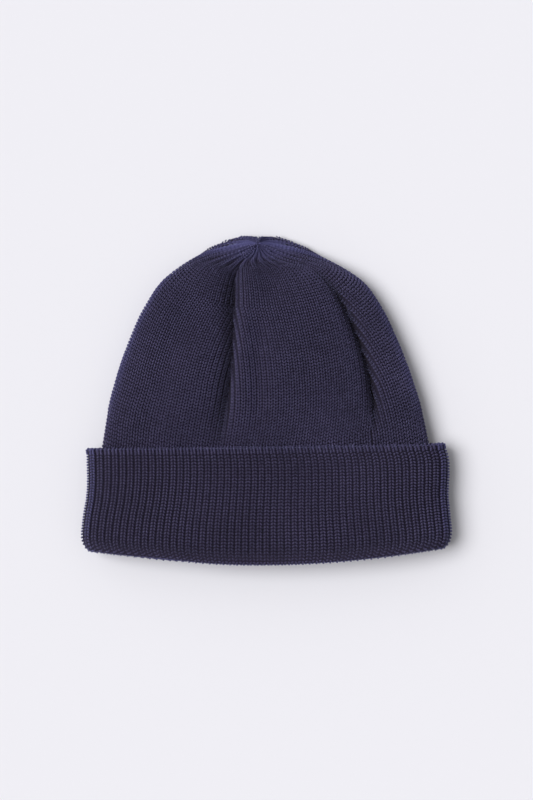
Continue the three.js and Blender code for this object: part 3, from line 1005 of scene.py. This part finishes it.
# %% The stitches as pieces
pieces = []
CROWN_LEGS = {"Leg lean": 0.25}
CUFF_LEGS = {
    "Leg lean": 0.3,
    "Leg length": 0.39,
    "Leg width": 0.16,
    "Leg spread": 0.225,
    "Leg height": 0.76,
}
KNITS = {"crown": (crown_stitches, CROWN_LEGS), "cuff": (cuff_stitches, CUFF_LEGS)}
for owner, (stitches, legs) in KNITS.items():
    upper = stitches["out"][:, 2] >= 0
    for side, chosen in (("front", upper), ("back", ~upper)):
        name = f"{owner}_stitches_{side}"
        pieces.append(set_stitches(name, stitches, chosen, navy_knit, legs))

# %% [markdown]
# ## Telling the frame
#
# Nothing on the cap moves by itself, so every piece rides on the one body. The two grounds stand
# for the two solids.

# %% Riding and replacing
for piece in (crown, cuff, *pieces):
    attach(piece, "root")
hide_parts("crown")
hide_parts("cuff")

# %% [markdown]
# ## The studio
#
# The cap lies on a pale sheet under soft light from the left, seen from straight above. Broad lamps
# close by would light one side of the floor more than the other, so two suns with wide discs are
# used: their shadows are as soft, and the floor stays even. The strong one stands for a window, and
# the weak, lower one fills its shadows.

# %% Floor
FLOOR_HALF = 4.0
floor_mesh = bpy.data.meshes.new("floor")
signs = ((-1, -1), (1, -1), (1, 1), (-1, 1))
corners = [(x * FLOOR_HALF, y * FLOOR_HALF, 0) for x, y in signs]
floor_mesh.from_pydata(corners, [], [(0, 1, 2, 3)])
floor = bpy.data.objects.new("floor", floor_mesh)
bpy.context.scene.collection.objects.link(floor)
paper = bpy.data.materials.new("paper")
paper.use_nodes = True
paper_shader = paper.node_tree.nodes["Principled BSDF"]
paper_shader.inputs["Base Color"].default_value = linear(238, 237, 243)
paper_shader.inputs["Roughness"].default_value = 0.9
paper_shader.inputs["Specular IOR Level"].default_value = 0.1
floor_mesh.materials.append(paper)

# %% Light
SUN_AZIMUTH, SUN_ELEVATION = 172, 56
SUN_SOFTNESS, SUN_POWER, SKY_POWER = 40, 2.45, 0.3
FILL_AZIMUTH, FILL_ELEVATION, FILL_SOFTNESS, FILL_POWER = 150, 28, 60, 0.5


def sun_lamp(name, azimuth, elevation, softness, power):
    data = bpy.data.lights.new(name, "SUN")
    data.energy = power
    data.angle = math.radians(softness)
    lamp = bpy.data.objects.new(name, data)
    turn, rise = math.radians(azimuth), math.radians(elevation)
    level = math.cos(rise)
    toward = np.array([math.cos(turn) * level, math.sin(turn) * level, math.sin(rise)])
    side = unit(np.cross((0, 0, 1), toward))
    axes = np.column_stack([side, np.cross(toward, side), toward])
    lamp.matrix_world = Matrix(axes.tolist()).to_4x4()
    bpy.context.scene.collection.objects.link(lamp)


sun_lamp("window", SUN_AZIMUTH, SUN_ELEVATION, SUN_SOFTNESS, SUN_POWER)
sun_lamp("fill", FILL_AZIMUTH, FILL_ELEVATION, FILL_SOFTNESS, FILL_POWER)
world = bpy.data.worlds.new("studio")
world.use_nodes = True
sky = world.node_tree.nodes["Background"]
sky.inputs["Color"].default_value = (1, 1, 1, 1)
sky.inputs["Strength"].default_value = SKY_POWER
bpy.context.scene.world = world
bpy.context.scene.view_settings.view_transform = "Standard"

# %% Camera
SCENE_HEIGHT = 0.504
FOCUS_HEIGHT = 0.012
FILM_HEIGHT, LENS = 36, 100
camera_data = bpy.data.cameras.new("camera")
camera_data.sensor_fit = "VERTICAL"
camera_data.sensor_height = FILM_HEIGHT
camera_data.lens = LENS
camera = bpy.data.objects.new("camera", camera_data)
camera.location = (0, 0, FOCUS_HEIGHT + SCENE_HEIGHT * LENS / FILM_HEIGHT)
bpy.context.scene.collection.objects.link(camera)
bpy.context.scene.camera = camera
print("camera", round(camera.location.z, 3), "m above the floor")
